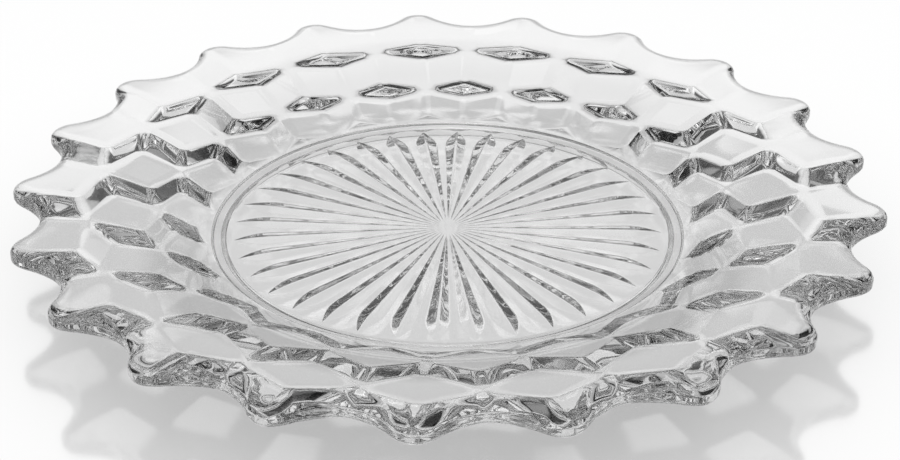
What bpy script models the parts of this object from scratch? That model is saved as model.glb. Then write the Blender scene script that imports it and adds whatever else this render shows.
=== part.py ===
"""Underplate of clear pressed glass, in one piece.

The top is a smooth turned well with a gently crowned rim. Underneath, folded flanks and lozenges
step up from the foot to the rim as tumbling blocks, and the rim is scalloped where the outermost
blocks end. Inside the foot ring a sunburst of V-shaped rays is pressed into the base.

Metres, +Z up. The foot stands on z = 0, the axis of the plate is Z and one rim point is on +Y.
"""

import math

import bmesh
import bpy
from mathutils import Matrix, Vector

# Rim: points joined by hollow arcs, seen from above
SCALLOPS = 21
TIP_RADIUS = 0.0890
SCALLOP_DEPTH = 0.0065
TIP_ROUND = 0.0050

# Section of the rim: a broad fire-polished roll on top and a smaller one below
TOP_ROLL_WIDTH = 0.0034
TOP_ROLL_DROP = 0.0017
LOWER_ROLL_WIDTH = 0.0011
LOWER_ROLL_RISE = 0.0011

# Top: flat floor, fillet, then one long crowned arc that is highest just inside the points
OVERALL_HEIGHT = 0.0159
CREST_INSET = 0.0060
FLOOR_HEIGHT = 0.0068
FLOOR_RADIUS = 0.0461
FLOOR_FILLET = 0.0120

# Corners of the lozenges across the band from the foot, at 0, to the notches of the rim, at 1
OUTER_ROW_FAR = 0.825
OUTER_ROW_SIDES = 0.732
OUTER_ROW_NEAR = 0.593
INNER_ROW_FAR = 0.455
INNER_ROW_SIDES = 0.338
INNER_ROW_NEAR = 0.228

# Glass thickness at the notches and at the side corners of the lozenges, and how far the flanks
# fold down from a notch line to a tip line, measured at the notches
NOTCH_THICKNESS = 0.0035
OUTER_ROW_THICKNESS = 0.0054
INNER_ROW_THICKNESS = 0.0054
FOLD_DEPTH = 0.0019

# Foot ring, the flat land between it and the blocks, and the recess that holds the sunburst
FOOT_RADIUS = 0.0493
FOOT_WIDTH = 0.0024
FOOT_HEIGHT = 0.0020
FOOT_DRAFT = 0.0002
LAND_WIDTH = 0.0019
BASE_RECESS = 0.0024
RECESS_DRAFT = 0.0008

# Sunburst
RAYS = 36
RAY_TURN = math.radians(2.3)
RAY_START = 0.0015
RAY_WIDEST_AT = 0.0370
RAY_END = 0.0443
RAY_WIDTH = 0.0052
RAY_DEPTH = 0.0011
RAY_CLEARANCE = 0.00005

# Facets of the round stretches
TIP_STEPS = 2
SCALLOP_STEPS = 2
ROLL_STEPS = 3
FILLET_STEPS = 4
CROWN_STEPS = 6
RAY_ARCH_STEPS = 3

NOTCH_RADIUS = TIP_RADIUS - SCALLOP_DEPTH
PITCH = math.tau / SCALLOPS
HALF_PITCH = PITCH / 2
FIRST_TIP = math.pi / 2


def clear_scene():
    for old in list(bpy.data.objects):
        bpy.data.objects.remove(old, do_unlink=True)


def new_collection(name):
    collection = bpy.data.collections.new(name)
    bpy.context.scene.collection.children.link(collection)
    return collection


def glass_material():
    material = bpy.data.materials.new("clear_pressed_glass")
    material.use_nodes = True
    shader = material.node_tree.nodes["Principled BSDF"]
    shader.inputs["Base Color"].default_value = (0.96, 0.97, 0.97, 1.0)
    shader.inputs["Roughness"].default_value = 0.03
    shader.inputs["Metallic"].default_value = 0.0
    shader.inputs["IOR"].default_value = 1.51
    shader.inputs["Transmission Weight"].default_value = 1.0
    return material


class TopProfile:
    """The turned upper surface: height against radius, from the floor to the rim points."""

    def __init__(self):
        crest_radius = TIP_RADIUS - CREST_INSET
        reach = crest_radius - FLOOR_RADIUS
        lift = FLOOR_HEIGHT + FLOOR_FILLET - OVERALL_HEIGHT
        self.crown = (reach**2 + lift**2 - FLOOR_FILLET**2) / (2 * (FLOOR_FILLET - lift))
        self.crown_centre = Vector((crest_radius, OVERALL_HEIGHT - self.crown))
        self.fillet_centre = Vector((FLOOR_RADIUS, FLOOR_HEIGHT + FLOOR_FILLET))
        to_fillet = (self.fillet_centre - self.crown_centre).normalized()
        self.join_radius = (self.crown_centre + self.crown * to_fillet).x

    def height(self, radius):
        if radius <= FLOOR_RADIUS:
            return FLOOR_HEIGHT
        if radius < self.join_radius:
            across = radius - self.fillet_centre.x
            return self.fillet_centre.y - math.sqrt(FLOOR_FILLET**2 - across**2)
        across = radius - self.crown_centre.x
        return self.crown_centre.y + math.sqrt(self.crown**2 - across**2)

    def radii(self, outermost):
        """Radii of the turned rings, from the outermost one in to the edge of the floor."""
        crown_step = (outermost - self.join_radius) / CROWN_STEPS
        crown = [outermost - crown_step * step for step in range(CROWN_STEPS)]
        fillet_step = (self.join_radius - FLOOR_RADIUS) / FILLET_STEPS
        fillet = [self.join_radius - fillet_step * step for step in range(FILLET_STEPS + 1)]
        return crown + fillet


class FlankRow:
    """One row of folded flanks. Lines run in to the axis under every point of the rim and under
    every notch, and all of them meet at one apex, so each flank between two lines is flat."""

    def __init__(self, apex, on_tip_line, on_notch_line):
        self.apex = apex
        self.tip_slope = (on_tip_line[1] - apex) / on_tip_line[0]
        self.notch_slope = (on_notch_line[1] - apex) / on_notch_line[0]

    def slope(self, from_tip):
        """Rise per radius on a flank, this many radians round from its tip line."""
        across = (self.notch_slope - self.tip_slope * math.cos(HALF_PITCH)) / math.sin(HALF_PITCH)
        return self.tip_slope * math.cos(from_tip) + across * math.sin(from_tip)

    def place(self, from_tip, radius):
        return (radius, self.apex + self.slope(from_tip) * radius)

    def at_height(self, from_tip, height):
        return ((height - self.apex) / self.slope(from_tip), height)


def band_radius(share):
    return FOOT_RADIUS + share * (NOTCH_RADIUS - FOOT_RADIUS)


def apex_of(first, second):
    """Height at which the line through two (radius, height) points meets the axis."""
    return first[1] - first[0] * (first[1] - second[1]) / (first[0] - second[0])


def near_corner(far_corner, side_corner, radius):
    """Near corner of a flat lozenge with this far corner and this pair of side corners."""
    middle = side_corner[0] * math.cos(HALF_PITCH)
    slope = (far_corner[1] - side_corner[1]) / (far_corner[0] - middle)
    return (radius, side_corner[1] + slope * (radius - middle))


class Blocks:
    """Corners of the tumbling blocks as (radius, height), and their three rows of flanks. The
    outer lozenges lie on the tip lines and the inner ones on the notch lines."""

    def __init__(self, top):
        def under(radius, thickness):
            return (radius, top.height(radius) - thickness)

        notch = under(NOTCH_RADIUS, NOTCH_THICKNESS)
        folded = (NOTCH_RADIUS, notch[1] - FOLD_DEPTH)
        self.outer_side = under(band_radius(OUTER_ROW_SIDES), OUTER_ROW_THICKNESS)
        self.inner_side = under(band_radius(INNER_ROW_SIDES), INNER_ROW_THICKNESS)
        self.rim_row = FlankRow(apex_of(notch, self.outer_side), folded, notch)
        self.outer_far = self.rim_row.place(0.0, band_radius(OUTER_ROW_FAR))
        self.outer_near = near_corner(self.outer_far, self.outer_side, band_radius(OUTER_ROW_NEAR))
        middle_apex = apex_of(self.outer_near, self.inner_side)
        self.middle_row = FlankRow(middle_apex, self.outer_near, self.outer_side)
        self.inner_far = self.middle_row.place(HALF_PITCH, band_radius(INNER_ROW_FAR))
        self.inner_near = near_corner(self.inner_far, self.inner_side, band_radius(INNER_ROW_NEAR))
        land_edge = (FOOT_RADIUS + FOOT_DRAFT + LAND_WIDTH, FOOT_HEIGHT)
        self.foot_row = FlankRow(apex_of(self.inner_near, land_edge), self.inner_side, self.inner_near)


def half_scallop(inset):
    """Outline from a rim point to the notch beside it, moved in by the inset: the angle from the
    point and the radius of each corner. Both arcs keep their centres, so insets stay parallel."""
    tip_centre = Vector((TIP_RADIUS - TIP_ROUND, 0.0))
    along = tip_centre.x * math.cos(HALF_PITCH)
    gap = NOTCH_RADIUS**2 + tip_centre.x**2 - 2 * NOTCH_RADIUS * along - TIP_ROUND**2
    scallop = gap / (2 * (along + TIP_ROUND - NOTCH_RADIUS))
    toward_notch = Vector((math.cos(HALF_PITCH), math.sin(HALF_PITCH)))
    scallop_centre = (NOTCH_RADIUS + scallop) * toward_notch
    join = scallop_centre - tip_centre
    join_angle = math.atan2(join.y, join.x)
    corners = []
    for step in range(TIP_STEPS):
        turn = join_angle * step / TIP_STEPS
        spoke = Vector((math.cos(turn), math.sin(turn)))
        corners.append(tip_centre + (TIP_ROUND - inset) * spoke)
    start = join_angle + math.pi
    finish = HALF_PITCH + math.pi
    for step in range(SCALLOP_STEPS + 1):
        turn = start + (finish - start) * step / SCALLOP_STEPS
        spoke = Vector((math.cos(turn), math.sin(turn)))
        corners.append(scallop_centre + (scallop + inset) * spoke)
    return [(math.atan2(corner.y, corner.x), corner.length) for corner in corners]


def around(half):
    """Repeats (angle from a point, value) pairs of half a scallop, mirrored, all the way round."""
    mirrored = [(PITCH - angle, value) for angle, value in reversed(half[1:-1])]
    return [
        (FIRST_TIP + scallop * PITCH + angle, value)
        for scallop in range(SCALLOPS)
        for angle, value in half + mirrored
    ]


def polar(angle, radius, height):
    return Vector((radius * math.cos(angle), radius * math.sin(angle), height))


def add_ring(mesh, places):
    return [mesh.verts.new(polar(angle, *place)) for angle, place in around(places)]


def add_circle(mesh, radius, height):
    return add_ring(mesh, [(angle, (radius, height)) for angle, reach in half_scallop(0.0)])


def join_rings(mesh, first, second):
    """Quads between two rings of equal count. The second ring lies inwards on top of the plate."""
    for index in range(len(first)):
        after = (index + 1) % len(first)
        mesh.faces.new((first[index], first[after], second[after], second[index]))


def half_stretch(ring, scallop, hand):
    """The ring's corners from a rim point to the notch on one hand of it, -1 or 1."""
    half = len(ring) // (2 * SCALLOPS)
    start = scallop * 2 * half
    return [ring[(start + hand * index) % len(ring)] for index in range(half + 1)]


def rim_rings(top, blocks):
    """Rings over the rolled edge, from the underside up round the wall to the top."""
    low = [blocks.rim_row.place(*corner)[1] for corner in half_scallop(LOWER_ROLL_WIDTH)]
    high = [top.height(radius) for angle, radius in half_scallop(TOP_ROLL_WIDTH)]
    turns = [math.pi / 2 * step / ROLL_STEPS for step in range(ROLL_STEPS + 1)]
    rings = []
    for turn in turns:
        outline = half_scallop(LOWER_ROLL_WIDTH * (1 - math.sin(turn)))
        rise = LOWER_ROLL_RISE * (1 - math.cos(turn))
        rings.append([(angle, (radius, z + rise)) for (angle, radius), z in zip(outline, low)])
    for turn in reversed(turns):
        outline = half_scallop(TOP_ROLL_WIDTH * (1 - math.sin(turn)))
        drop = TOP_ROLL_DROP * (1 - math.cos(turn))
        rings.append([(angle, (radius, z - drop)) for (angle, radius), z in zip(outline, high)])
    return rings


def add_blocks(mesh, blocks, rim_edge, foot_edge):
    """Lozenges and flanks between the rim's lower edge and the land round the foot."""
    land_tip = blocks.foot_row.at_height(0.0, FOOT_HEIGHT)
    land_notch = blocks.foot_row.at_height(HALF_PITCH, FOOT_HEIGHT)
    for scallop in range(SCALLOPS):
        tip_angle = FIRST_TIP + scallop * PITCH
        far, near, inner_side, land_middle = [
            mesh.verts.new(polar(tip_angle, *corner))
            for corner in (blocks.outer_far, blocks.outer_near, blocks.inner_side, land_tip)
        ]
        for hand in (-1, 1):
            side, inner_far, inner_near, land_end = [
                mesh.verts.new(polar(tip_angle + hand * HALF_PITCH, *corner))
                for corner in (blocks.outer_side, blocks.inner_far, blocks.inner_near, land_notch)
            ]
            faces = [
                half_stretch(rim_edge, scallop, hand) + [side, far],
                [far, side, near],
                [near, side, inner_far, inner_side],
                [inner_side, inner_far, inner_near],
                [inner_side, inner_near, land_end, land_middle],
                [land_middle, land_end] + half_stretch(foot_edge, scallop, hand)[::-1],
            ]
            for corners in faces:
                mesh.faces.new(corners[::hand])


def add_base(mesh, foot_edge):
    """Foot ring, the drafted wall of the recess and the flat base that holds the sunburst."""
    foot_inner = FOOT_RADIUS - FOOT_WIDTH
    outer = foot_edge
    for level in ((FOOT_RADIUS, 0.0), (foot_inner, 0.0), (foot_inner - RECESS_DRAFT, BASE_RECESS)):
        inner = add_circle(mesh, *level)
        join_rings(mesh, inner, outer)
        outer = inner
    mesh.faces.new(outer[::-1])


def add_top(mesh, top, rim_edge):
    outermost = NOTCH_RADIUS - 2 * TOP_ROLL_WIDTH
    outer = rim_edge
    for radius in top.radii(outermost):
        inner = add_circle(mesh, radius, top.height(radius))
        join_rings(mesh, outer, inner)
        outer = inner
    mesh.faces.new(outer)


def pressed_body(name, collection):
    """The whole plate before its sunburst: blocks, rim, top and foot as one closed skin."""
    top = TopProfile()
    blocks = Blocks(top)
    mesh = bmesh.new()
    foot_edge = add_circle(mesh, FOOT_RADIUS + FOOT_DRAFT, FOOT_HEIGHT)
    rings = [add_ring(mesh, places) for places in rim_rings(top, blocks)]
    add_blocks(mesh, blocks, rings[0], foot_edge)
    for lower, upper in zip(rings, rings[1:]):
        join_rings(mesh, lower, upper)
    add_top(mesh, top, rings[-1])
    add_base(mesh, foot_edge)
    bmesh.ops.remove_doubles(mesh, verts=mesh.verts, dist=1e-6)
    bmesh.ops.recalc_face_normals(mesh, faces=mesh.faces)
    return to_object(mesh, name, collection)


def to_object(mesh, name, collection):
    data = bpy.data.meshes.new(name)
    mesh.to_mesh(data)
    mesh.free()
    made = bpy.data.objects.new(name, data)
    collection.objects.link(made)
    return made


def ray_outline():
    """Half of a ray seen from below: pointed start, straight side, then an arch to its end."""
    arch = RAY_END - RAY_WIDEST_AT
    side = [(RAY_START, 0.0)]
    for step in range(RAY_ARCH_STEPS + 1):
        turn = math.pi / 2 * step / RAY_ARCH_STEPS
        side.append((RAY_WIDEST_AT + arch * math.sin(turn), RAY_WIDTH / 2 * math.cos(turn)))
    return side


def ray_cutters(name, collection):
    """The sunburst's rays as many-sided pyramids, deepest where they are widest."""
    mesh = bmesh.new()
    deepest = Vector((RAY_WIDEST_AT, 0.0, BASE_RECESS + RAY_DEPTH))
    spread = 1 + RAY_CLEARANCE / RAY_DEPTH
    side = ray_outline()
    outline = side + [(along, -across) for along, across in reversed(side[1:-1])]
    for ray in range(RAYS):
        turn = Matrix.Rotation(FIRST_TIP + RAY_TURN + math.tau * ray / RAYS, 3, "Z")
        top = mesh.verts.new(turn @ deepest)
        corners = []
        for along, across in outline:
            at_base = Vector((along, across, BASE_RECESS))
            corners.append(mesh.verts.new(turn @ (deepest + spread * (at_base - deepest))))
        mesh.faces.new(corners)
        for index, corner in enumerate(corners):
            mesh.faces.new((corner, corners[index - 1], top))
    bmesh.ops.recalc_face_normals(mesh, faces=mesh.faces)
    cutters = to_object(mesh, name, collection)
    cutters.hide_render = True
    cutters.display_type = "WIRE"
    return cutters


def main():
    clear_scene()
    parts = new_collection("underplate")
    helpers = new_collection("cutters")
    plate = pressed_body("plate", parts)
    plate.data.materials.append(glass_material())
    sunburst = plate.modifiers.new("sunburst", "BOOLEAN")
    sunburst.operation = "DIFFERENCE"
    sunburst.object = ray_cutters("ray_cutters", helpers)


main()
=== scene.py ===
"""Looks of the underplate: fire-polished pressed glass on a pale glossy table.

The whole plate is modelled as one glass body, from the foot outwards over the blocks to the rim and
back in over the top, then down the inside of the foot to the sunburst. Metres, +Z up, and one rim
point is on +Y, as in the frame.
"""

import math

import bmesh
import bpy
from mathutils import Matrix, Vector


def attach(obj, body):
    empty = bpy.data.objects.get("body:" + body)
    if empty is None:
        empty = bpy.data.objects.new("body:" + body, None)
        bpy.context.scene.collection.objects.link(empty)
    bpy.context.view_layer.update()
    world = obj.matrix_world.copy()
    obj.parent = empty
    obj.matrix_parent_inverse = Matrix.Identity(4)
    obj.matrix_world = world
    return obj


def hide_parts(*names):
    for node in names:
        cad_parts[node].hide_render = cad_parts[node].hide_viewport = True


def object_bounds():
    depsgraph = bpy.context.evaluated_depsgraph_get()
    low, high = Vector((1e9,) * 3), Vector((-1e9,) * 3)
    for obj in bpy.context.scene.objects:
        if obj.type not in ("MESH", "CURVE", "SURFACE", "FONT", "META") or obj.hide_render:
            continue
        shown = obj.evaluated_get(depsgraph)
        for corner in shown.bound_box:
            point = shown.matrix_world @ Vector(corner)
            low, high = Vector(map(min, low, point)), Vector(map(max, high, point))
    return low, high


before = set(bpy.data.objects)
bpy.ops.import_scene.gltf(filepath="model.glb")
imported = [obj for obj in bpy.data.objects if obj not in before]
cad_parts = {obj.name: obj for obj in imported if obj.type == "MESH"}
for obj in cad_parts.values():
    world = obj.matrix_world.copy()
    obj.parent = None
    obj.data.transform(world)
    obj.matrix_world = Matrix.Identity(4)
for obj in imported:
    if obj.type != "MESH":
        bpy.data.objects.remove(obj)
cad_low, cad_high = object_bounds()

# Rim outline and section
SCALLOPS = 21
TIP_RADIUS = cad_high.y
SCALLOP_DEPTH = 0.0065
TIP_ROUND = 0.0050
TOP_ROLL_WIDTH = 0.0034
TOP_ROLL_DROP = 0.0017
LOWER_ROLL_WIDTH = 0.0011
LOWER_ROLL_RISE = 0.0011

# Turned top
OVERALL_HEIGHT = cad_high.z
CREST_INSET = 0.0060
FLOOR_HEIGHT = 0.0068
FLOOR_RADIUS = 0.0461
FLOOR_FILLET = 0.0120

# Lozenge corners across the band from the foot, at 0, to the notches, at 1
OUTER_ROW_FAR = 0.825
OUTER_ROW_SIDES = 0.732
OUTER_ROW_NEAR = 0.593
INNER_ROW_FAR = 0.455
INNER_ROW_SIDES = 0.338
INNER_ROW_NEAR = 0.228

# Glass thickness, fold of the flanks, and the soft edges that fire-polishing leaves on the blocks
NOTCH_THICKNESS = 0.0035
OUTER_ROW_THICKNESS = 0.0054
INNER_ROW_THICKNESS = 0.0054
FOLD_DEPTH = 0.0019
BLOCK_ROUND = 0.0016

# Foot and recess
FOOT_RADIUS = 0.0493
FOOT_WIDTH = 0.0024
FOOT_HEIGHT = 0.0020
FOOT_DRAFT = 0.0002
FOOT_ROUND = 0.0004
FOOT_FILLET = 0.0002
LAND_WIDTH = 0.0019
BASE_RECESS = 0.0024
RECESS_DRAFT = 0.0008
RECESS_FILLET = 0.0005

# Sunburst. Softness and places across a ray are shares of its half width.
RAYS = 36
RAY_TURN = math.radians(2.3)
RAY_START = 0.0015
RAY_WIDEST_AT = 0.0370
RAY_END = 0.0443
RAY_WIDTH = 0.0052
RAY_DEPTH = 0.0011
RAY_EDGE_SOFT = 0.16
RAY_BOTTOM_SOFT = 0.10
RAY_ACROSS = (0.06, 0.16, 0.45, 0.80, 0.92, 1.0)

# Fineness of the round stretches
OUTLINE_CUTS = 9
CIRCLE_CUTS = 11
BLOCK_ROUND_STEPS = 4
LOWER_ROLL_STEPS = 6
TOP_ROLL_STEPS = 10
BLEND_STEPS = 4
CROWN_STEP = 0.0012
FILLET_STEP = 0.0006
SMALL_ROUND_STEPS = 4
RAY_SHANK_STEPS = 10
RAY_ARCH_STEPS = 8
MERGE = 2e-6
CREASE_ANGLE = math.radians(2)
SMOOTH_ANGLE = math.radians(40)
FACET_WEIGHT = 100

# Glass finish. A pair says where a finish starts to show and where it is full.
GLASS_IOR = 1.51
GLASS_TINT = 0.985
STREAKS = {"scale": 60.0, "detail": 2.0}
STREAK_LIFT = 0.012
WAVES = {"scale": 220.0, "detail": 1.0}
WAVE_HEIGHT = 0.00002
GROUND_BELOW = (0.000144, 0.000096)
GROUND_ROUGHNESS = 0.30
GROUND_DIMMING = 0.10
SCRATCHES = {"scale": 900.0, "detail": 4.0}
SCRATCHED_ABOVE = (0.58, 0.75)
WORN_WITHIN = (FLOOR_RADIUS, 0.6 * FLOOR_RADIUS)
WORN_ABOVE = (0.8 * FLOOR_HEIGHT, 0.95 * FLOOR_HEIGHT)
WORN_ROUGHNESS = 0.05

# Table: mirror gloss, painted shadow round the plate, and the painted patch of light that shows through
# the glass
TABLE_SIZE = 6.0
TABLE_DROP = 0.0002
TABLE_GLOSS = 0.33
TABLE_GLOSS_ROUGHNESS = 0.12
# Painted shadow: ambient occlusion darkens the table's emitted white round the plate
TABLE_SHADOW = 0.35
SHADOW_REACH = 0.04
SHADOW_SAMPLES = 6
# Painted light: a patch of light painted on the table round the plate, seen only through the glass
PAINTED_PATCH_LIGHT = 0.94
PAINTED_PATCH_WITHIN = (0.135, 0.105)
# Painted shade: the painted patch of light is darker in a ring under the blocks
PAINTED_BLOCK_SHADE = 0.12
PAINTED_BLOCK_SHADE_IN = (0.044, 0.064)
PAINTED_BLOCK_SHADE_OUT = (0.089, 0.078)

# Studio: dark room, pale backdrop behind the plate and soft lights. Angles are in degrees, and a pair
# says up to where a light is full and where it ends.
ROOM_LIGHT = 0.005
ROOM_GLOSS = 0.15
BACKDROP_AZIMUTH = 85
BACKDROP_SPREAD = (17, 30)
BACKDROP_TOP = (25, 31)
BACKDROP_LIGHT = 0.40
HORIZON_TOP = (6, 9)
HORIZON_LIGHT = 0.25
WINDOW_SILL = (14, 20)
WINDOW_TOP = (38, 44)
SOFTBOX_FULL = 0.7
SOFTBOX_EDGE = 1.3
KEY_LIGHT = {"azimuth": 250, "elevation": 62, "spread": 21, "strength": 1.8}
FRONT_LIGHT = {"azimuth": 266, "elevation": 22, "spread": 14, "strength": 1.3}
SIDE_LIGHT = {"azimuth": 0, "elevation": 67, "spread": 9, "strength": 1.1}
FILL_LIGHT = {"azimuth": 30, "elevation": 30, "spread": 12, "strength": 0.25}
OVERHEAD_PANEL = {"azimuth": 0, "elevation": 90, "spread": 22, "strength": 0.5}
LIGHT_BOUNCES = 24
GLOSS_BOUNCES = 16

# Camera fitted to the rim points
EYE = Vector((-0.03125, -0.3693, 0.2111))
AIM = Vector((-0.000333, -0.009995, 0.010))
LENS = 81.66
NEAR_CLIP = 0.01

# Worked out from the sizes
NOTCH_RADIUS = TIP_RADIUS - SCALLOP_DEPTH
PITCH = math.tau / SCALLOPS
HALF_PITCH = PITCH / 2
QUARTER = math.pi / 2
FIRST_TIP = QUARTER
FOOT_INNER = FOOT_RADIUS - FOOT_WIDTH
BASE_RADIUS = FOOT_INNER - RECESS_DRAFT


def polar(angle, radius, height):
    return Vector((radius * math.cos(angle), radius * math.sin(angle), height))


def spoke(angle):
    return Vector((math.cos(angle), math.sin(angle)))


def plan_radius(place):
    return math.hypot(place.x, place.y)


def plan_angle(place):
    return math.atan2(place.y, place.x)


class TopProfile:
    """The turned top: flat floor, fillet and one long crowned arc, as height against radius."""

    def __init__(self):
        crest_radius = TIP_RADIUS - CREST_INSET
        reach = crest_radius - FLOOR_RADIUS
        lift = FLOOR_HEIGHT + FLOOR_FILLET - OVERALL_HEIGHT
        self.crown = (reach**2 + lift**2 - FLOOR_FILLET**2) / (2 * (FLOOR_FILLET - lift))
        self.crown_centre = Vector((crest_radius, OVERALL_HEIGHT - self.crown))
        self.fillet_centre = Vector((FLOOR_RADIUS, FLOOR_HEIGHT + FLOOR_FILLET))
        to_fillet = (self.fillet_centre - self.crown_centre).normalized()
        self.join_radius = (self.crown_centre + self.crown * to_fillet).x

    def height(self, radius):
        if radius <= FLOOR_RADIUS:
            return FLOOR_HEIGHT
        if radius < self.join_radius:
            across = radius - self.fillet_centre.x
            return self.fillet_centre.y - math.sqrt(FLOOR_FILLET**2 - across**2)
        across = radius - self.crown_centre.x
        return self.crown_centre.y + math.sqrt(self.crown**2 - across**2)


class FlankRow:
    """Folded flanks between tip lines and notch lines that all meet at one apex on the axis."""

    def __init__(self, apex, on_tip_line, on_notch_line):
        self.apex = apex
        self.tip_slope = (on_tip_line[1] - apex) / on_tip_line[0]
        self.notch_slope = (on_notch_line[1] - apex) / on_notch_line[0]

    def slope(self, from_tip):
        across = (self.notch_slope - self.tip_slope * math.cos(HALF_PITCH)) / math.sin(HALF_PITCH)
        return self.tip_slope * math.cos(from_tip) + across * math.sin(from_tip)

    def place(self, from_tip, radius):
        return (radius, self.apex + self.slope(from_tip) * radius)

    def at_height(self, from_tip, height):
        return ((height - self.apex) / self.slope(from_tip), height)


def band_radius(share):
    return FOOT_RADIUS + share * (NOTCH_RADIUS - FOOT_RADIUS)


def apex_of(first, second):
    return first[1] - first[0] * (first[1] - second[1]) / (first[0] - second[0])


def near_corner(far_corner, side_corner, radius):
    middle = side_corner[0] * math.cos(HALF_PITCH)
    slope = (far_corner[1] - side_corner[1]) / (far_corner[0] - middle)
    return (radius, side_corner[1] + slope * (radius - middle))


class Blocks:
    """Corners of the tumbling blocks as (radius, height), outer lozenges on the tip lines."""

    def __init__(self, top):
        def under(radius, thickness):
            return (radius, top.height(radius) - thickness)

        notch = under(NOTCH_RADIUS, NOTCH_THICKNESS)
        folded = (NOTCH_RADIUS, notch[1] - FOLD_DEPTH)
        self.outer_side = under(band_radius(OUTER_ROW_SIDES), OUTER_ROW_THICKNESS)
        self.inner_side = under(band_radius(INNER_ROW_SIDES), INNER_ROW_THICKNESS)
        self.rim_row = FlankRow(apex_of(notch, self.outer_side), folded, notch)
        self.outer_far = self.rim_row.place(0.0, band_radius(OUTER_ROW_FAR))
        self.outer_near = near_corner(self.outer_far, self.outer_side, band_radius(OUTER_ROW_NEAR))
        middle_apex = apex_of(self.outer_near, self.inner_side)
        self.middle_row = FlankRow(middle_apex, self.outer_near, self.outer_side)
        self.inner_far = self.middle_row.place(HALF_PITCH, band_radius(INNER_ROW_FAR))
        self.inner_near = near_corner(self.inner_far, self.inner_side, band_radius(INNER_ROW_NEAR))
        land_edge = (FOOT_RADIUS + FOOT_DRAFT + LAND_WIDTH, FOOT_HEIGHT)
        foot_apex = apex_of(self.inner_near, land_edge)
        self.foot_row = FlankRow(foot_apex, self.inner_side, self.inner_near)
        self.land_tip = self.foot_row.at_height(0.0, FOOT_HEIGHT)
        self.land_notch = self.foot_row.at_height(HALF_PITCH, FOOT_HEIGHT)


class Outline:
    """Plan of the rim: round points joined by hollow arcs, with parallel insets."""

    def __init__(self):
        self.tip_centre = Vector((TIP_RADIUS - TIP_ROUND, 0.0))
        along = self.tip_centre.x * math.cos(HALF_PITCH)
        gap = NOTCH_RADIUS**2 + self.tip_centre.x**2 - 2 * NOTCH_RADIUS * along - TIP_ROUND**2
        self.scallop = gap / (2 * (along + TIP_ROUND - NOTCH_RADIUS))
        self.scallop_centre = (NOTCH_RADIUS + self.scallop) * spoke(HALF_PITCH)
        join = self.scallop_centre - self.tip_centre
        self.join_angle = math.atan2(join.y, join.x)
        self.tip_length = TIP_ROUND * self.join_angle
        self.length = self.tip_length + self.scallop * (self.join_angle - HALF_PITCH)

    def half_point(self, share, inset):
        """The place at this share of the way from a point of the rim to the notch beside it."""
        along = share * self.length
        if along < self.tip_length:
            return self.tip_centre + (TIP_ROUND - inset) * spoke(along / TIP_ROUND)
        turn = self.join_angle - (along - self.tip_length) / self.scallop
        return self.scallop_centre - (self.scallop + inset) * spoke(turn)

    def nearest(self, place, inset):
        """The nearest place on an inset, at the same height, and the plan direction out of the rim."""
        sector, turn, hand = sector_of(place)
        local = plan_radius(place) * spoke(turn)
        from_tip = local - self.tip_centre
        if math.atan2(from_tip.y, from_tip.x) <= self.join_angle:
            out = from_tip.normalized()
            on_inset = self.tip_centre + (TIP_ROUND - inset) * out
        else:
            out = (self.scallop_centre - local).normalized()
            on_inset = self.scallop_centre - (self.scallop + inset) * out
        around = sector + hand * math.atan2(on_inset.y, on_inset.x)
        return polar(around, on_inset.length, place.z)


def sector_of(place):
    """Angle of the nearest rim point, the turn away from it, and the hand of that turn."""
    turn = plan_angle(place) - FIRST_TIP
    tip = round(turn / PITCH)
    off = turn - tip * PITCH
    return FIRST_TIP + tip * PITCH, abs(off), math.copysign(1.0, off)


# Modelling in edit mode


def start_piece(name, add_primitive):
    """Adds a primitive with nothing else selected and opens it in edit mode, selected all over."""
    bpy.ops.object.select_all(action="DESELECT")
    add_primitive()
    piece = bpy.context.object
    piece.name = name
    piece.data.name = name
    bpy.ops.object.mode_set(mode="EDIT")
    bpy.ops.mesh.select_mode(type="EDGE")
    bpy.ops.mesh.select_all(action="SELECT")
    return piece


def move_selected(place):
    """Moves every selected corner to where the function puts it."""
    mesh = bmesh.from_edit_mesh(bpy.context.edit_object.data)
    for corner in mesh.verts:
        if corner.select:
            corner.co = place(corner.co)
    bmesh.update_edit_mesh(bpy.context.edit_object.data)


def grow(place):
    """Extrudes the selected loop and moves the new one into place."""
    bpy.ops.mesh.extrude_edges_indiv()
    move_selected(place)


def select_edges(wanted):
    bpy.ops.mesh.select_all(action="DESELECT")
    mesh = bmesh.from_edit_mesh(bpy.context.edit_object.data)
    for edge in mesh.edges:
        if wanted(edge):
            edge.select = True
    mesh.select_flush_mode()
    bmesh.update_edit_mesh(bpy.context.edit_object.data)


def open_between(inside, outside):
    """A test for open edges with their middle between two radii."""

    def wanted(edge):
        middle = (edge.verts[0].co + edge.verts[1].co) / 2
        return edge.is_boundary and inside < plan_radius(middle) < outside

    return wanted


RIM_EDGE = open_between(NOTCH_RADIUS - TOP_ROLL_WIDTH, 2 * TIP_RADIUS)
FOOT_EDGE = open_between(0.0, FOOT_RADIUS + FOOT_DRAFT + LAND_WIDTH / 2)
BASE_EDGE = open_between(RAY_END, 2 * TIP_RADIUS)


def zigzag(on_tip_line, on_notch_line):
    """Puts every second corner of a ring on a tip line and the others on notch lines."""

    def place(corner):
        half = round((plan_angle(corner) - FIRST_TIP) / HALF_PITCH)
        radius, height = on_notch_line if half % 2 else on_tip_line
        return polar(FIRST_TIP + half * HALF_PITCH, radius, height)

    return place


def circle(radius, height):
    def place(corner):
        return polar(plan_angle(corner), radius, height)

    return place


def roll_start(blocks):
    """Turn along the lower roll at which it is as steep as the flanks, and its inset there."""
    slope = (blocks.rim_row.tip_slope + blocks.rim_row.notch_slope) / 2
    turn = math.atan(slope * LOWER_ROLL_WIDTH / LOWER_ROLL_RISE)
    return turn, LOWER_ROLL_WIDTH * (1 - math.sin(turn))


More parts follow.
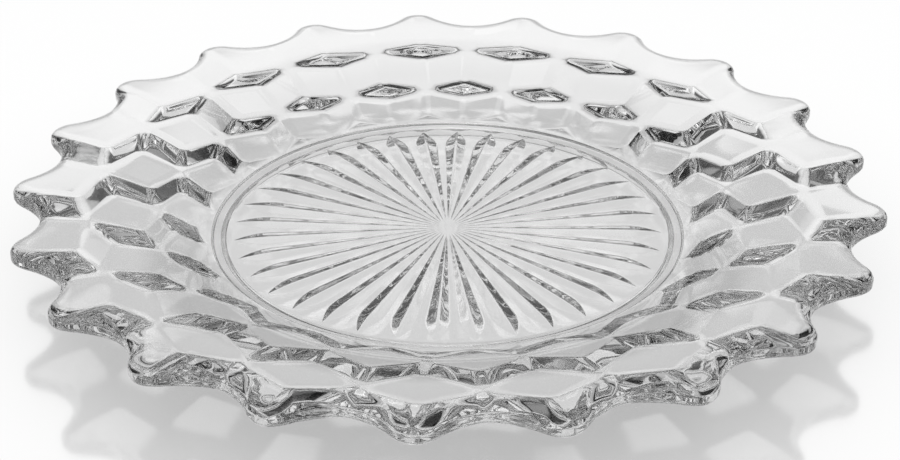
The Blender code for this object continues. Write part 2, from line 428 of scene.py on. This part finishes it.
def model_blocks(blocks, outline):
    """Rings of 42 corners from the foot out to the rim. Two of them fall on the ring before in
    every second corner, which leaves the lozenges between the rows of flanks."""
    foot_top = (FOOT_RADIUS + FOOT_DRAFT + FOOT_FILLET, FOOT_HEIGHT)
    turn, inset = roll_start(blocks)
    rim_tip = blocks.rim_row.place(0.0, outline.half_point(0.0, inset).length)
    rim_notch = blocks.rim_row.place(HALF_PITCH, outline.half_point(1.0, inset).length)
    move_selected(zigzag(foot_top, foot_top))
    for on_tip_line, on_notch_line in (
        (blocks.land_tip, blocks.land_notch),
        (blocks.inner_side, blocks.inner_near),
        (blocks.inner_side, blocks.inner_far),
        (blocks.outer_near, blocks.outer_side),
        (blocks.outer_far, blocks.outer_side),
        (rim_tip, rim_notch),
    ):
        grow(zigzag(on_tip_line, on_notch_line))
    bpy.ops.mesh.select_all(action="SELECT")
    bpy.ops.mesh.remove_doubles(threshold=MERGE)


def round_plans(blocks, outline):
    """Cuts the straight edges of the rim and the foot, and moves the cuts onto the scallops, in the
    planes of the flanks, and onto a circle."""
    inset = roll_start(blocks)[1]
    tip = outline.half_point(0.0, inset)
    chord = (outline.half_point(1.0, inset) - tip).length

    def on_scallops(corner):
        sector, turn, hand = sector_of(corner)
        share = (plan_radius(corner) * spoke(turn) - tip).length / chord
        on_rim = outline.half_point(share, inset)
        around = math.atan2(on_rim.y, on_rim.x)
        return polar(sector + hand * around, *blocks.rim_row.place(around, on_rim.length))

    select_edges(RIM_EDGE)
    bpy.ops.mesh.subdivide(number_cuts=OUTLINE_CUTS)
    move_selected(on_scallops)
    select_edges(FOOT_EDGE)
    bpy.ops.mesh.subdivide(number_cuts=CIRCLE_CUTS)
    move_selected(circle(FOOT_RADIUS + FOOT_DRAFT + FOOT_FILLET, FOOT_HEIGHT))


def crease(edge):
    return len(edge.link_faces) == 2 and edge.calc_face_angle() > CREASE_ANGLE


def polish_blocks(blocks, outline):
    """Rounds the edges of the blocks and puts what this cuts off the rim back on its outline."""
    select_edges(crease)
    bpy.ops.mesh.bevel(offset=BLOCK_ROUND, segments=BLOCK_ROUND_STEPS, affect="EDGES")
    bpy.ops.mesh.select_all(action="SELECT")
    bpy.ops.mesh.remove_doubles(threshold=MERGE)
    inset = roll_start(blocks)[1]
    select_edges(RIM_EDGE)
    move_selected(lambda corner: outline.nearest(corner, inset))


def roll_rim(top, blocks, outline):
    """Carries the open edge round the rim: lower roll, wall, then the broad roll onto the top."""
    select_edges(RIM_EDGE)
    start, inset = roll_start(blocks)
    turn_before = start
    for step in range(1, LOWER_ROLL_STEPS + 1):
        turn = start + (QUARTER - start) * step / LOWER_ROLL_STEPS
        inset = LOWER_ROLL_WIDTH * (1 - math.sin(turn))
        rise = Vector((0.0, 0.0, LOWER_ROLL_RISE * (math.cos(turn_before) - math.cos(turn))))
        grow(lambda corner: outline.nearest(corner, inset) + rise)
        turn_before = turn
    for step in range(TOP_ROLL_STEPS + 1):
        turn = QUARTER * (1 - step / TOP_ROLL_STEPS)
        inset = TOP_ROLL_WIDTH * (1 - math.sin(turn))
        drop = TOP_ROLL_DROP * (1 - math.cos(turn))

        def place(corner):
            moved = outline.nearest(corner, inset)
            moved.z = top.height(plan_radius(outline.nearest(corner, TOP_ROLL_WIDTH))) - drop
            return moved

        grow(place)


def turn_top(top):
    """From the wavy edge of the roll in to circles, down into the well and over its floor."""
    outermost = NOTCH_RADIUS - 2 * TOP_ROLL_WIDTH
    for step in range(BLEND_STEPS):
        share = 1 / (BLEND_STEPS - step)

        def place(corner):
            radius = plan_radius(corner) + share * (outermost - plan_radius(corner))
            return polar(plan_angle(corner), radius, top.height(radius))

        grow(place)
    stretches = (
        (outermost, top.join_radius, CROWN_STEP),
        (top.join_radius, FLOOR_RADIUS, FILLET_STEP),
    )
    for start, end, length in stretches:
        steps = math.ceil((start - end) / length)
        for step in range(1, steps + 1):
            radius = start + (end - start) * step / steps
            grow(circle(radius, top.height(radius)))
    bpy.ops.mesh.edge_face_add()


def turns(first, last):
    """Turns of a small round, from the first to the last."""
    return [first + (last - first) * step / SMALL_ROUND_STEPS for step in range(SMALL_ROUND_STEPS + 1)]


def shape_foot():
    """From the land down the drafted wall, across the flat of the foot and up its inner edge."""
    select_edges(FOOT_EDGE)
    wall = FOOT_RADIUS + FOOT_DRAFT
    for turn in turns(0.0, QUARTER)[1:]:
        out = wall + FOOT_FILLET * (1 - math.sin(turn))
        grow(circle(out, FOOT_HEIGHT - FOOT_FILLET * (1 - math.cos(turn))))
    for turn in turns(0.0, QUARTER):
        out = FOOT_RADIUS - FOOT_ROUND * (1 - math.cos(turn))
        grow(circle(out, FOOT_ROUND * (1 - math.sin(turn))))
    for turn in turns(QUARTER, 0.0):
        out = FOOT_INNER + FOOT_ROUND * (1 - math.cos(turn))
        grow(circle(out, FOOT_ROUND * (1 - math.sin(turn))))


def ray_half_width(along):
    """Half of a ray's width: a straight taper out from the centre, then a pointed arch."""
    if along < RAY_WIDEST_AT:
        return RAY_WIDTH / 2 * max(0.0, along - RAY_START) / (RAY_WIDEST_AT - RAY_START)
    arch = (along - RAY_WIDEST_AT) / (RAY_END - RAY_WIDEST_AT)
    return RAY_WIDTH / 2 * max(0.0, 1 - arch**2)


def groove(across):
    """Depth of a ray's V at a share of its half width, soft along its edges and its bottom."""
    full = 1 - RAY_EDGE_SOFT / 2 - RAY_BOTTOM_SOFT / 2
    if 1 - across < RAY_EDGE_SOFT:
        return (1 - across) ** 2 / (2 * RAY_EDGE_SOFT) / full
    if across < RAY_BOTTOM_SOFT:
        return 1 - across**2 / (2 * RAY_BOTTOM_SOFT) / full
    return (1 - RAY_EDGE_SOFT / 2 - across) / full


def ray_stations():
    """Distances from the centre at which a ray's slice of the base is shaped."""
    shank = RAY_WIDEST_AT - RAY_START
    arch = RAY_END - RAY_WIDEST_AT
    stations = [0.0]
    for step in range(RAY_SHANK_STEPS):
        stations.append(RAY_START + shank * step / RAY_SHANK_STEPS)
    for step in range(RAY_ARCH_STEPS + 1):
        stations.append(RAY_WIDEST_AT + arch * math.sin(QUARTER * step / RAY_ARCH_STEPS))
    return stations + [BASE_RADIUS - RECESS_FILLET]


def model_sunburst():
    """One ray in its slice of the base, shaped from a grid, copied round the centre, and the start of
    the wall that goes down to the foot."""
    stations = ray_stations()
    columns = [-share for share in reversed(RAY_ACROSS)] + [0.0] + list(RAY_ACROSS)
    slice_half = math.pi / RAYS
    last_row = len(stations) - 1
    last_column = len(columns) + 1

    def add_grid():
        bpy.ops.mesh.primitive_grid_add(x_subdivisions=last_row, y_subdivisions=last_column, size=2)

    def place(corner):
        row = round((corner.x + 1) / 2 * last_row)
        column = round((corner.y + 1) / 2 * last_column)
        along = stations[row]
        even = slice_half * (2 * column / last_column - 1)
        if row in (0, last_row) or column in (0, last_column):
            return polar(even, along, BASE_RECESS)
        across = columns[column - 1]
        half_width = ray_half_width(along)
        depth = RAY_DEPTH * groove(abs(across)) * half_width / (RAY_WIDTH / 2)
        return polar(across * half_width / along, along, BASE_RECESS + depth)

    star = start_piece("sunburst", add_grid)
    move_selected(place)
    bpy.ops.mesh.remove_doubles(threshold=MERGE)
    for ray in range(RAYS):
        if ray:
            bpy.ops.mesh.duplicate()
        step = Matrix.Rotation(math.tau / RAYS if ray else FIRST_TIP + RAY_TURN, 3, "Z")
        move_selected(lambda corner: step @ corner)
    bpy.ops.mesh.select_all(action="SELECT")
    bpy.ops.mesh.remove_doubles(threshold=MERGE)
    select_edges(BASE_EDGE)
    for turn in turns(0.0, QUARTER)[1:]:
        out = BASE_RADIUS - RECESS_FILLET * (1 - math.sin(turn))
        grow(circle(out, BASE_RECESS - RECESS_FILLET * (1 - math.cos(turn))))
    bpy.ops.object.mode_set(mode="OBJECT")
    return star


def close_body(plate, star):
    """Makes the plate and its sunburst one closed body, bridged by the wall of the recess."""
    bpy.ops.object.select_all(action="DESELECT")
    star.select_set(True)
    plate.select_set(True)
    bpy.context.view_layer.objects.active = plate
    bpy.ops.object.join()
    bpy.ops.object.mode_set(mode="EDIT")
    bpy.ops.mesh.select_mode(type="EDGE")
    select_edges(lambda edge: edge.is_boundary)
    bpy.ops.mesh.bridge_edge_loops()
    bpy.ops.mesh.select_all(action="SELECT")
    bpy.ops.mesh.normals_make_consistent(inside=False)
    bpy.ops.object.mode_set(mode="OBJECT")


def model_plate():
    top = TopProfile()
    blocks = Blocks(top)
    outline = Outline()

    def add_circle():
        bpy.ops.mesh.primitive_circle_add(vertices=2 * SCALLOPS, radius=FOOT_RADIUS, fill_type="NOTHING")

    plate = start_piece("pressed_plate", add_circle)
    model_blocks(blocks, outline)
    round_plans(blocks, outline)
    polish_blocks(blocks, outline)
    roll_rim(top, blocks, outline)
    turn_top(top)
    shape_foot()
    bpy.ops.object.mode_set(mode="OBJECT")
    close_body(plate, model_sunburst())
    bpy.ops.object.shade_smooth_by_angle(angle=SMOOTH_ANGLE)
    flat_facets = plate.modifiers.new("flat_facets", "WEIGHTED_NORMAL")
    flat_facets.weight = FACET_WEIGHT
    flat_facets.keep_sharp = True
    bpy.ops.object.modifier_apply(modifier=flat_facets.name)
    return plate


# Materials


class Value:
    """An output of a shader node. Arithmetic on it makes the maths nodes."""

    def __init__(self, tree, socket):
        self.tree = tree
        self.socket = socket

    def reckon(self, operation, first, second):
        return self.tree.add("Math", {0: first, 1: second}, operation=operation)

    def __add__(self, other):
        return self.reckon("ADD", self, other)

    def __radd__(self, other):
        return self.reckon("ADD", other, self)

    def __sub__(self, other):
        return self.reckon("SUBTRACT", self, other)

    def __rsub__(self, other):
        return self.reckon("SUBTRACT", other, self)

    def __mul__(self, other):
        return self.reckon("MULTIPLY", self, other)

    def __rmul__(self, other):
        return self.reckon("MULTIPLY", other, self)

    def __truediv__(self, other):
        return self.reckon("DIVIDE", self, other)

    def __rtruediv__(self, other):
        return self.reckon("DIVIDE", other, self)

    def __pow__(self, power):
        return self.reckon("POWER", self, power)

    def fade(self, start, end):
        """0 up to the start and 1 from the end on, with a smooth rise between them."""
        sockets = {"Value": self, "From Min": start, "From Max": end}
        return self.tree.add("MapRange", sockets, interpolation_type="SMOOTHSTEP")

    def parts(self):
        return [self.tree.add("SeparateXYZ", {"Vector": self}, axis) for axis in "XYZ"]


class Tree:
    """The nodes of one material or world."""

    def __init__(self, owner):
        owner.use_nodes = True
        self.nodes = owner.node_tree.nodes
        self.links = owner.node_tree.links
        self.nodes.clear()

    def add(self, kind, sockets, output=0, **settings):
        """Makes a node with these settings, fills its sockets and gives one of its outputs."""
        node = self.nodes.new("ShaderNode" + kind)
        for name, setting in settings.items():
            setattr(node, name, setting)
        for name, value in sockets.items():
            if isinstance(value, Value):
                self.links.new(value.socket, node.inputs[name])
            else:
                node.inputs[name].default_value = value
        return Value(self, node.outputs[output]) if node.outputs else None

    def noise(self, place, scale, detail):
        return self.add("TexNoise", {"Vector": place, "Scale": scale, "Detail": detail}, "Fac")

    def grey(self, value):
        return self.add("CombineColor", {"Red": value, "Green": value, "Blue": value})


def clear_glass():
    """Fire-polished glass: slightly wavy all over, ground where the foot stands, worn in the well."""
    material = bpy.data.materials.new("clear_glass")
    tree = Tree(material)
    place = tree.add("TexCoord", {}, "Object")
    x, y, z = place.parts()
    radius = (x * x + y * y) ** 0.5

    ground = z.fade(*GROUND_BELOW)
    in_well = radius.fade(*WORN_WITHIN) * z.fade(*WORN_ABOVE)
    scratches = tree.noise(place, **SCRATCHES).fade(*SCRATCHED_ABOVE)
    roughness = GROUND_ROUGHNESS * ground + WORN_ROUGHNESS * in_well * scratches

    tint = GLASS_TINT + STREAK_LIFT * tree.noise(place, **STREAKS) - GROUND_DIMMING * ground
    waves = tree.noise(place, **WAVES)
    normal = tree.add("Bump", {"Height": waves, "Strength": 1.0, "Distance": WAVE_HEIGHT})
    surface = {
        "Base Color": tree.grey(tint),
        "Roughness": roughness,
        "Normal": normal,
        "IOR": GLASS_IOR,
        "Transmission Weight": 1.0,
    }
    tree.add("OutputMaterial", {"Surface": tree.add("BsdfPrincipled", surface)})
    return material


# Stage


def ray_kinds(tree):
    """1 for rays of sight, for rays reflected in air, and for rays that come through the glass."""
    sight = tree.add("LightPath", {}, "Is Camera Ray")
    through_glass = tree.add("LightPath", {}, "Is Transmission Ray")
    gloss = tree.add("LightPath", {}, "Is Glossy Ray") * (1 - through_glass)
    return sight, gloss, 1 - sight - gloss


def table():
    """A white glossy table top, painted shadow near the plate, and a painted patch of light seen through
    the glass.
    """
    bpy.ops.mesh.primitive_plane_add(size=TABLE_SIZE, location=(0, 0, -TABLE_DROP))
    top = bpy.context.object
    top.name = "table"
    material = bpy.data.materials.new("table")
    tree = Tree(material)
    x, y, _ = tree.add("TexCoord", {}, "Object").parts()
    radius = (x * x + y * y) ** 0.5
    # Painted shade: a ring of the table under the blocks is darkened
    painted_shade_under_blocks = radius.fade(*PAINTED_BLOCK_SHADE_IN) * radius.fade(*PAINTED_BLOCK_SHADE_OUT)
    # Painted light: rays through the glass see a patch of light painted on the table round the plate
    painted_light_patch = PAINTED_PATCH_LIGHT * radius.fade(*PAINTED_PATCH_WITHIN) * (1 - PAINTED_BLOCK_SHADE * painted_shade_under_blocks)
    # Painted shadow: the table's emitted white is darkened by ambient occlusion round the plate
    openness = tree.add("AmbientOcclusion", {"Distance": SHADOW_REACH}, "AO", samples=SHADOW_SAMPLES)
    white = 1 - TABLE_SHADOW * (1 - openness)
    sight, gloss, inside = ray_kinds(tree)
    glow = tree.add("Emission", {"Color": tree.grey((sight + gloss) * white + inside * painted_light_patch)})
    mirror = tree.add("BsdfGlossy", {"Color": (1, 1, 1, 1), "Roughness": TABLE_GLOSS_ROUGHNESS})
    surface = tree.add("MixShader", {0: TABLE_GLOSS, 1: glow, 2: mirror})
    tree.add("OutputMaterial", {"Surface": surface})
    top.data.materials.append(material)


def toward(azimuth, elevation=0):
    """The direction at these angles in degrees."""
    flat = spoke(math.radians(azimuth)) * math.cos(math.radians(elevation))
    return (flat.x, flat.y, math.sin(math.radians(elevation)))


def within(direction, aim, full, edge):
    """1 up to one angle from the aim, in degrees, and 0 beyond the other."""
    nearness = sum(part * share for part, share in zip(direction, aim))
    return nearness.fade(math.cos(math.radians(edge)), math.cos(math.radians(full)))


def below(height, full, edge):
    """1 up to one elevation in degrees and 0 above the other, from the height of a unit direction."""
    return height.fade(math.sin(math.radians(edge)), math.sin(math.radians(full)))


def softbox(direction, azimuth, elevation, spread, strength):
    """A round light at these angles, full in its middle and soft at its edge."""
    aim = toward(azimuth, elevation)
    return strength * within(direction, aim, SOFTBOX_FULL * spread, SOFTBOX_EDGE * spread)


def studio():
    """Soft lights over the plate and a pale backdrop behind it in a dark room."""
    world = bpy.data.worlds.new("studio")
    bpy.context.scene.world = world
    tree = Tree(world)
    direction = tree.add("TexCoord", {}, "Generated").parts()
    x, y, z = direction
    level = (x * x + y * y) ** 0.5
    compass = (x / level, y / level)
    backdrop = within(compass, toward(BACKDROP_AZIMUTH), *BACKDROP_SPREAD)
    glow_behind = BACKDROP_LIGHT * below(z, *BACKDROP_TOP) + HORIZON_LIGHT * below(z, *HORIZON_TOP)
    light = ROOM_LIGHT + backdrop * glow_behind
    for lamp in (FRONT_LIGHT, FILL_LIGHT):
        light = light + softbox(direction, **lamp)
    high_lamps = softbox(direction, **KEY_LIGHT) + softbox(direction, **SIDE_LIGHT)
    light = light + high_lamps
    window = backdrop * (1 - below(z, *WINDOW_SILL)) * below(z, *WINDOW_TOP)
    shown = ROOM_GLOSS + (1 - ROOM_GLOSS) * window + high_lamps + softbox(direction, **OVERHEAD_PANEL)
    sight, gloss, inside = ray_kinds(tree)
    glow = tree.add("Background", {"Color": tree.grey(sight + gloss * shown + inside * light)})
    tree.add("OutputWorld", {"Surface": glow})


def camera():
    data = bpy.data.cameras.new("camera")
    made = bpy.data.objects.new("camera", data)
    bpy.context.scene.collection.objects.link(made)
    made.location = EYE
    made.rotation_euler = (AIM - EYE).to_track_quat("-Z", "Y").to_euler()
    data.lens = LENS
    data.clip_start = NEAR_CLIP
    bpy.context.scene.camera = made


plate = model_plate()
plate.data.materials.clear()
plate.data.materials.append(clear_glass())
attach(plate, "root")
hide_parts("plate")

table()
studio()
camera()
bpy.context.scene.view_settings.view_transform = "Standard"
bpy.context.scene.cycles.max_bounces = LIGHT_BOUNCES
bpy.context.scene.cycles.glossy_bounces = GLOSS_BOUNCES
bpy.context.scene.cycles.transmission_bounces = LIGHT_BOUNCES
